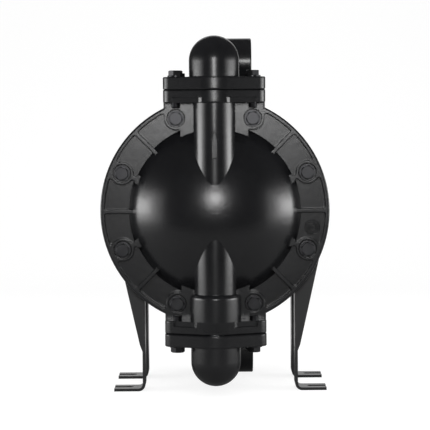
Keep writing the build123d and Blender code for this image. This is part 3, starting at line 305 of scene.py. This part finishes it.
def dial_tree(finish):
    """Two rings with a ring of dots between them and a bar across the middle."""
    g = Grower("founders_dial", ("Radius", "Relief", "Turn"))
    radius, relief = g.given["Radius"], g.given["Relief"]
    parts = []
    for share in (1.0, 0.5):
        circle = {"Resolution": 48, "Radius": radius * share}
        ring = g.node("GeometryNodeCurvePrimitiveCircle", {}, circle)
        parts.append(g.wire(ring.outputs[0], relief, 8, False))
    circle = {"Resolution": 12, "Radius": radius * 0.75}
    seats = g.node("GeometryNodeCurvePrimitiveCircle", {}, circle)
    ball = g.node("GeometryNodeMeshIcoSphere", {}, {"Radius": relief * 1.5, "Subdivisions": 2})
    dots = {"Points": seats.outputs[0], "Instance": ball.outputs[0]}
    parts.append(g.node("GeometryNodeInstanceOnPoints", {}, dots).outputs[0])
    half = g.node("ShaderNodeCombineXYZ", {}, {"X": radius * 0.28}).outputs[0]
    back = g.node("ShaderNodeVectorMath", {"operation": "SCALE"}, {0: half, "Scale": -1.0}).outputs[0]
    line = g.node("GeometryNodeCurvePrimitiveLine", {}, {"Start": back, "End": half}).outputs[0]
    parts.append(g.wire(line, relief * 1.3, 8, True))
    g.deliver(parts, finish)
    return g.tree


def grown(name, tree, marks, sizes):
    """Grows the tree's form on each mark and leaves it as a plain mesh that rides on the pump."""
    mesh = bpy.data.meshes.new(name + "_marks")
    mesh.from_pydata(marks, [], [])
    seed = bpy.data.objects.new(name + "_marks", mesh)
    bpy.context.scene.collection.objects.link(seed)
    grower = seed.modifiers.new("grow", "NODES")
    grower.node_group = tree
    for socket in tree.interface.items_tree:
        if socket.in_out == "INPUT" and socket.name in sizes:
            grower[socket.identifier] = sizes[socket.name]
    ready = seed.evaluated_get(bpy.context.evaluated_depsgraph_get())
    plain = bpy.data.meshes.new_from_object(ready)
    plain.name = name
    bpy.data.objects.remove(seed)
    piece = bpy.data.objects.new(name, plain)
    bpy.context.scene.collection.objects.link(piece)
    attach(piece, "pump")


AXIS_UP = 328.0 * MM
BOLT_R, BOLT_PITCH = 7.0 * MM, 2.0 * MM
THREAD_INSET = 0.6 * MM  # from a bolt's end to its first turn
MANIFOLD_BOLT_X, MANIFOLD_BOLT_Y = 67.2 * MM, 159.0 * MM
MANIFOLD_THREAD_L = 8.0 * MM - THREAD_INSET
CAP_BOLTS, BOLT_CIRCLE_R, FIRST_BOLT_DEG = 8, 177.0 * MM, 22.5
CAP_THREAD_L = 2.2 * MM
PORT_LEAD_IN, PORT_RUN_OUT = 1.2 * MM, 1.4 * MM  # bare wall before the first turn and after the last
DIAL_X, DIAL_OUT, DIAL_UP = 172.3 * MM, 127.1 * MM, 297.6 * MM
DIAL_R, DIAL_RELIEF, DIAL_TURN = 12.6 * MM, 1.1 * MM, 0.4
UP, DOWN, INWARD, OUTWARD = (0, 0, 0), (pi, 0, 0), (-pi / 2, 0, 0), (pi / 2, 0, 0)
bolt_thread = thread_tree(FINISHES["black_fastener"])
port_thread = thread_tree(FINISHES["plain_aluminium"])

for end, turn, side in (("outlet", UP, 1), ("inlet", DOWN, -1)):
    low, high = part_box(end + "_manifold_bolts")
    start = (low.z if end == "outlet" else high.z) + side * THREAD_INSET
    marks = [(x * MANIFOLD_BOLT_X, y * MANIFOLD_BOLT_Y, start) for x in (-1, 1) for y in (-1, 1)]
    sizes = {"Radius": BOLT_R, "Pitch": BOLT_PITCH, "Length": MANIFOLD_THREAD_L, "Turn": turn}
    grown(end + "_bolt_threads", bolt_thread, marks, sizes)

for end, turn, side in (("front", OUTWARD, -1), ("rear", INWARD, 1)):
    low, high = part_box(end + "_cap_bolts")
    start = (high.y if end == "front" else low.y) + side * THREAD_INSET
    marks = []
    for k in range(CAP_BOLTS):
        angle = radians(FIRST_BOLT_DEG + 360 * k / CAP_BOLTS)
        marks.append((BOLT_CIRCLE_R * cos(angle), start, AXIS_UP + BOLT_CIRCLE_R * sin(angle)))
    sizes = {"Radius": BOLT_R, "Pitch": BOLT_PITCH, "Length": CAP_THREAD_L, "Turn": turn}
    grown(end + "_cap_bolt_threads", bolt_thread, marks, sizes)

for port, radius, pitch in (
    ("outlet_port", 28.3, 2.2), ("inlet_port", 28.3, 2.2), ("air_inlet", 12.1, 1.8)
):
    mount = next(m for m in frame["record"]["mounts"] if m["name"] == port)
    depth = mount["dims"]["length_mm"] * MM
    middle, outward = Vector(mount["pos_m"]), mount["axis"][0]
    start = middle - Vector((outward * (depth / 2 - PORT_LEAD_IN), 0, 0))
    length, turn = depth - PORT_LEAD_IN - PORT_RUN_OUT, (0, outward * pi / 2, 0)
    sizes = {"Radius": radius * MM, "Pitch": pitch * MM, "Length": length, "Turn": turn}
    grown(port + "_threads", port_thread, [start], sizes)

dial = dial_tree(FINISHES["coated_casting"])
for end, side in (("front", -1), ("rear", 1)):
    spot = (DIAL_X, side * DIAL_OUT, DIAL_UP)
    sizes = {"Radius": DIAL_R, "Relief": DIAL_RELIEF, "Turn": (pi / 2, DIAL_TURN, 0)}
    grown(end + "_cap_dial", dial, [spot], sizes)


# ---- diaphragms: each is cut into wedges round the rod axis, which stand in for the hidden node ----
SECTORS = 12
CREASE = radians(35)  # edges sharper than this stay sharp


def sector(node, name, middle, width):
    """One wedge of a turned node round the rod axis, closed along both cuts."""
    shape = bmesh.new()
    shape.from_mesh(node.data)
    shape.transform(node.matrix_world)
    for side in (-1, 1):
        angle = middle + side * width / 2
        outward = Vector((-sin(angle), 0, cos(angle))) * side
        cut = bmesh.ops.bisect_plane(
            shape,
            geom=shape.verts[:] + shape.edges[:] + shape.faces[:],
            dist=1e-7,
            plane_co=(0, 0, AXIS_UP),
            plane_no=outward,
            clear_outer=True,
        )
        rim = [part for part in cut["geom_cut"] if isinstance(part, bmesh.types.BMEdge)]
        bmesh.ops.holes_fill(shape, edges=rim)
    mesh = bpy.data.meshes.new(name)
    shape.to_mesh(mesh)
    shape.free()
    mesh.shade_smooth()
    mesh.set_sharp_from_angle(angle=CREASE)
    piece = bpy.data.objects.new(name, mesh)
    bpy.context.scene.collection.objects.link(piece)
    return piece


for node_name in ("front_diaphragm", "rear_diaphragm"):
    low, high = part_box(node_name)
    for k in range(SECTORS):
        middle = (k + 0.5) * 2 * pi / SECTORS
        piece = sector(nodes[node_name], f"{node_name}_{k + 1:02d}", middle, 2 * pi / SECTORS)
        piece.data.materials.clear()
        piece.data.materials.append(FINISHES["diaphragm_rubber"])
        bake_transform(piece)
        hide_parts(node_name)


# ---- camera, stage and lamps ----
EYE, LENS_MM = (0, -3.14, 0.523), 142.7
PITCH, ROLL = radians(86.15), radians(-0.42)
PAPER_LIT, PAPER_GLOW = 0.24, 0.84
FAR_FROM, FAR_TO = 0.3, 0.6  # gloss sees the paper lit up past these Y values
ROOM_LIGHT = 0.045


def camera():
    lens = bpy.data.cameras.new("camera")
    lens.sensor_width = 36.0
    lens.lens = LENS_MM
    eye = bpy.data.objects.new("camera", lens)
    bpy.context.scene.collection.objects.link(eye)
    tilt = Matrix.Rotation(PITCH, 4, "X") @ Matrix.Rotation(ROLL, 4, "Z")
    eye.matrix_world = Matrix.Translation(EYE) @ tilt
    bpy.context.scene.camera = eye


def white_paper():
    """White to the camera and, far off, in gloss. It is clear from behind, so the back view is open."""
    material = bpy.data.materials.new("white_paper")
    material.use_nodes = True
    paper = Tree(material.node_tree)
    paper.tree.nodes.clear()
    path = paper.node("ShaderNodeLightPath").outputs
    point = paper.node("ShaderNodeNewGeometry").outputs
    split = paper.node("ShaderNodeSeparateXYZ", {}, {0: point["Position"]})
    depth = Val(paper, split.outputs["Y"])
    mirrored = Val(paper, path["Is Glossy Ray"]).at_least(path["Is Transmission Ray"])
    seen = (mirrored * depth.above(FAR_FROM, FAR_TO)).at_least(path["Is Camera Ray"])
    grey, white = (PAPER_LIT, PAPER_LIT, PAPER_LIT, 1), (1, 1, 1, 1)
    lit = paper.node("ShaderNodeBsdfDiffuse", {}, {"Color": grey}).outputs[0]
    glow = {"Color": white, "Strength": PAPER_GLOW}
    glow = paper.node("ShaderNodeEmission", {}, glow).outputs[0]
    both = paper.node("ShaderNodeAddShader", {}, {0: lit, 1: glow}).outputs[0]
    front = paper.node("ShaderNodeMixShader", {}, {0: seen, 1: lit, 2: both}).outputs[0]
    clear = paper.node("ShaderNodeBsdfTransparent").outputs[0]
    sides = {0: point["Backfacing"], 1: front, 2: clear}
    one_sided = paper.node("ShaderNodeMixShader", {}, sides).outputs[0]
    paper.node("ShaderNodeOutputMaterial", {}, {"Surface": one_sided})
    return material


def sweep():
    """A floor that curves up into a wall behind the pump."""
    half, front, back, radius, top, steps = 1.1, -1.0, 3.0, 1.5, 2.6, 24
    line = [(front, 0.0), (back - radius, 0.0)]
    for step in range(1, steps + 1):
        turn = pi / 2 * step / steps
        line.append((back - radius + radius * sin(turn), radius - radius * cos(turn)))
    line.append((back, top))
    verts = [(x, y, z) for y, z in line for x in (-half, half)]
    faces = [(2 * i, 2 * i + 1, 2 * i + 3, 2 * i + 2) for i in range(len(line) - 1)]
    mesh = bpy.data.meshes.new("sweep")
    mesh.from_pydata(verts, [], faces)
    mesh.polygons.foreach_set("use_smooth", [True] * len(faces))
    mesh.materials.append(white_paper())
    floor = bpy.data.objects.new("sweep", mesh)
    bpy.context.scene.collection.objects.link(floor)


def room():
    """Dim light from all round, which the camera sees as white."""
    world = bpy.data.worlds.new("studio")
    bpy.context.scene.world = world
    world.use_nodes = True
    world.node_tree.nodes.clear()
    air = Tree(world.node_tree)
    path = air.node("ShaderNodeLightPath")
    seen = Val(air, path.outputs["Is Camera Ray"])
    strength = ROOM_LIGHT * (1 - seen) + seen
    glow = air.node("ShaderNodeBackground", {}, {"Color": (1, 1, 1, 1), "Strength": strength})
    air.node("ShaderNodeOutputWorld", {}, {"Surface": glow.outputs[0]})


def soft_box(name, place, target, width, height, power, mirrored=True):
    """A lamp panel. One that is not mirrored lights the coat but leaves no highlight in it."""
    lamp = bpy.data.lights.new(name, "AREA")
    lamp.shape = "RECTANGLE"
    lamp.size, lamp.size_y, lamp.energy = width, height, power
    box = bpy.data.objects.new(name, lamp)
    box.visible_glossy = mirrored
    bpy.context.scene.collection.objects.link(box)
    aim = (Vector(target) - Vector(place)).to_track_quat("-Z", "Y")
    box.matrix_world = Matrix.LocRotScale(Vector(place), aim, None)


bpy.context.scene.view_settings.view_transform = "Standard"
camera()
sweep()
room()
MIDDLE = (0, -0.1, 0.33)
SIDE_OFF, SIDE_Y, SIDE_UP = 1.6, -0.3, 0.36
SIDE_W, SIDE_H, SIDE_POWER = 1.3, 0.56, 8.3
SIDE_SPREADS = (0.6, 1.0, 1.5)  # panels one over another, so that the glow fades at its edges
for layer, spread in enumerate(SIDE_SPREADS):
    width, height = SIDE_W * spread, SIDE_H * spread
    for side, x in (("left", -SIDE_OFF), ("right", SIDE_OFF)):
        place = (x, SIDE_Y, SIDE_UP)
        soft_box(f"{side}_box_{layer}", place, MIDDLE, width, height, SIDE_POWER)
soft_box("front_box", (0, -3.6, 0.92), MIDDLE, 0.66, 0.66, 36)
soft_box("front_fill", (0, -2.6, 1.9), MIDDLE, 2.4, 1.6, 60, mirrored=False)
soft_box("top_fill", (0, 0.2, 2.6), MIDDLE, 2.0, 2.0, 40, mirrored=False)
